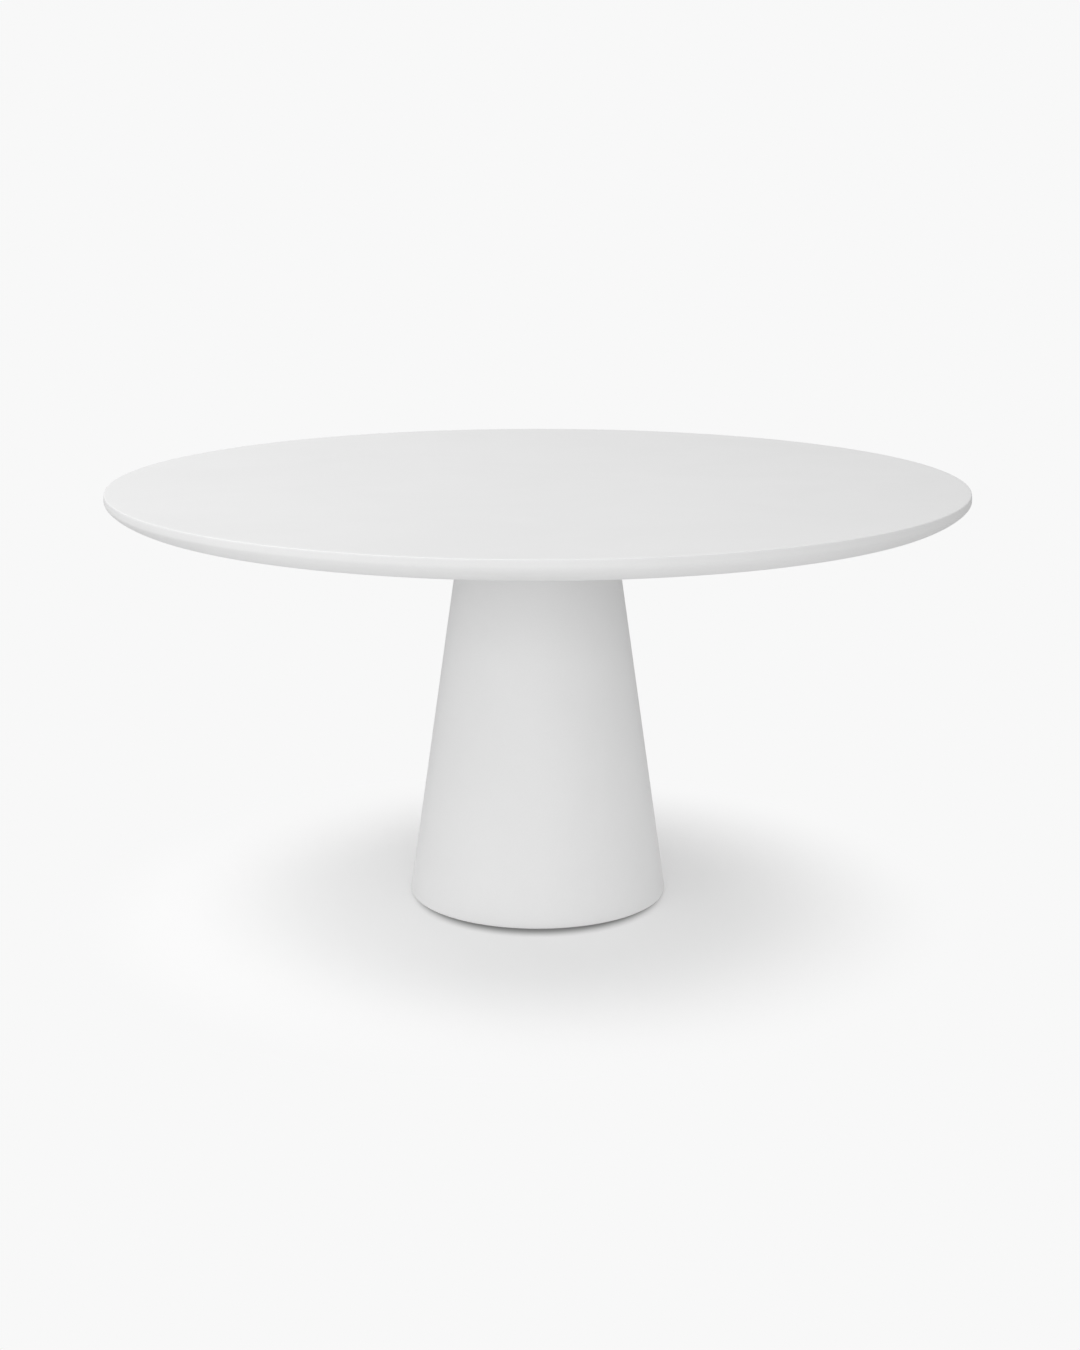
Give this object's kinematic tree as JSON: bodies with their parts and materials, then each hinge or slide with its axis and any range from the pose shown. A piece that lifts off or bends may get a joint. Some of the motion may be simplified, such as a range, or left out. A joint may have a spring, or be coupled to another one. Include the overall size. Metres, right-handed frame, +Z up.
{
  "type": "pedestal table",
  "caption": "Round dining table: a thick soft-edged slab top on one hollow conical pedestal, with a bolted steel plate, hidden ballast and levelling feet.",
  "frame": {"origin": "on the floor, under the centre of the top", "axes": "+Z up; the table is round, so +X and -Y (its front) are a free choice, and foot 1 and plate bolt 1 lie along +X"},
  "size_m": [1.5, 1.5, 0.75],
  "materials": {
    "coated_board": "matt white mineral coat on a board core, trowelled and sealed",
    "coated_concrete": "matt white mineral coat on a fibre-reinforced concrete shell",
    "powder_coated_steel": "fine-textured light grey powder coat",
    "plywood": "sanded birch plywood",
    "zinc_steel": "bright zinc plate, satin",
    "black_steel": "hot-rolled plate with dark mill scale",
    "nylon": "moulded black nylon"
  },
  "bodies": {
    "table": {"tabletop": "coated_board", "top_insert_1": "zinc_steel", "top_insert_2": "zinc_steel", "top_insert_3": "zinc_steel", "top_insert_4": "zinc_steel", "top_insert_5": "zinc_steel", "top_insert_6": "zinc_steel", "mounting_plate": "powder_coated_steel", "plate_bolt_1": "zinc_steel", "plate_bolt_2": "zinc_steel", "plate_bolt_3": "zinc_steel", "plate_bolt_4": "zinc_steel", "plate_bolt_5": "zinc_steel", "plate_bolt_6": "zinc_steel", "pedestal_shell": "coated_concrete", "neck_disc": "plywood", "neck_screw_1": "zinc_steel", "neck_screw_2": "zinc_steel", "neck_screw_3": "zinc_steel", "neck_screw_4": "zinc_steel", "mid_former": "plywood", "base_disc": "plywood", "tie_rod": "zinc_steel", "tie_rod_washer": "zinc_steel", "tie_rod_nut": "zinc_steel", "ballast_plate_1": "black_steel", "ballast_plate_2": "black_steel", "ballast_plate_3": "black_steel", "ballast_bolt_1": "zinc_steel", "ballast_bolt_2": "zinc_steel", "ballast_bolt_3": "zinc_steel", "ballast_nut_1": "zinc_steel", "ballast_nut_2": "zinc_steel", "ballast_nut_3": "zinc_steel", "glide_insert_1": "zinc_steel", "glide_insert_2": "zinc_steel", "glide_insert_3": "zinc_steel", "glide_insert_4": "zinc_steel", "glide_insert_5": "zinc_steel", "glide_insert_6": "zinc_steel"},
    "foot_1_pad": {"glide_pad_1": "nylon"},
    "foot_1_stud": {"glide_stud_1": "zinc_steel"},
    "foot_2_pad": {"glide_pad_2": "nylon"},
    "foot_2_stud": {"glide_stud_2": "zinc_steel"},
    "foot_3_pad": {"glide_pad_3": "nylon"},
    "foot_3_stud": {"glide_stud_3": "zinc_steel"},
    "foot_4_pad": {"glide_pad_4": "nylon"},
    "foot_4_stud": {"glide_stud_4": "zinc_steel"},
    "foot_5_pad": {"glide_pad_5": "nylon"},
    "foot_5_stud": {"glide_stud_5": "zinc_steel"},
    "foot_6_pad": {"glide_pad_6": "nylon"},
    "foot_6_stud": {"glide_stud_6": "zinc_steel"}
  },
  "joints": [
    {"name": "foot_1_travel", "type": "slide", "parent": "table", "child": "foot_1_pad", "axis": [0, 0, -1], "range_m": [0, 0.008]},
    {"name": "foot_1_turn", "type": "hinge", "parent": "foot_1_pad", "child": "foot_1_stud", "pos_m": [0.18977, 0, 0], "axis": [0, 0, -1], "range_deg": [0, 2304]},
    {"name": "foot_2_travel", "type": "slide", "parent": "table", "child": "foot_2_pad", "axis": [0, 0, -1], "range_m": [0, 0.008]},
    {"name": "foot_2_turn", "type": "hinge", "parent": "foot_2_pad", "child": "foot_2_stud", "pos_m": [0.09489, 0.16435, 0], "axis": [0, 0, -1], "range_deg": [0, 2304]},
    {"name": "foot_3_travel", "type": "slide", "parent": "table", "child": "foot_3_pad", "axis": [0, 0, -1], "range_m": [0, 0.008]},
    {"name": "foot_3_turn", "type": "hinge", "parent": "foot_3_pad", "child": "foot_3_stud", "pos_m": [-0.09489, 0.16435, 0], "axis": [0, 0, -1], "range_deg": [0, 2304]},
    {"name": "foot_4_travel", "type": "slide", "parent": "table", "child": "foot_4_pad", "axis": [0, 0, -1], "range_m": [0, 0.008]},
    {"name": "foot_4_turn", "type": "hinge", "parent": "foot_4_pad", "child": "foot_4_stud", "pos_m": [-0.18977, 0, 0], "axis": [0, 0, -1], "range_deg": [0, 2304]},
    {"name": "foot_5_travel", "type": "slide", "parent": "table", "child": "foot_5_pad", "axis": [0, 0, -1], "range_m": [0, 0.008]},
    {"name": "foot_5_turn", "type": "hinge", "parent": "foot_5_pad", "child": "foot_5_stud", "pos_m": [-0.09489, -0.16435, 0], "axis": [0, 0, -1], "range_deg": [0, 2304]},
    {"name": "foot_6_travel", "type": "slide", "parent": "table", "child": "foot_6_pad", "axis": [0, 0, -1], "range_m": [0, 0.008]},
    {"name": "foot_6_turn", "type": "hinge", "parent": "foot_6_pad", "child": "foot_6_stud", "pos_m": [0.09489, -0.16435, 0], "axis": [0, 0, -1], "range_deg": [0, 2304]}
  ],
  "couplings": [
    {"joint": "foot_1_turn", "follows": "foot_1_travel", "rad_per_m": 5026.5},
    {"joint": "foot_2_turn", "follows": "foot_2_travel", "rad_per_m": 5026.5},
    {"joint": "foot_3_turn", "follows": "foot_3_travel", "rad_per_m": 5026.5},
    {"joint": "foot_4_turn", "follows": "foot_4_travel", "rad_per_m": 5026.5},
    {"joint": "foot_5_turn", "follows": "foot_5_travel", "rad_per_m": 5026.5},
    {"joint": "foot_6_turn", "follows": "foot_6_travel", "rad_per_m": 5026.5}
  ]
}
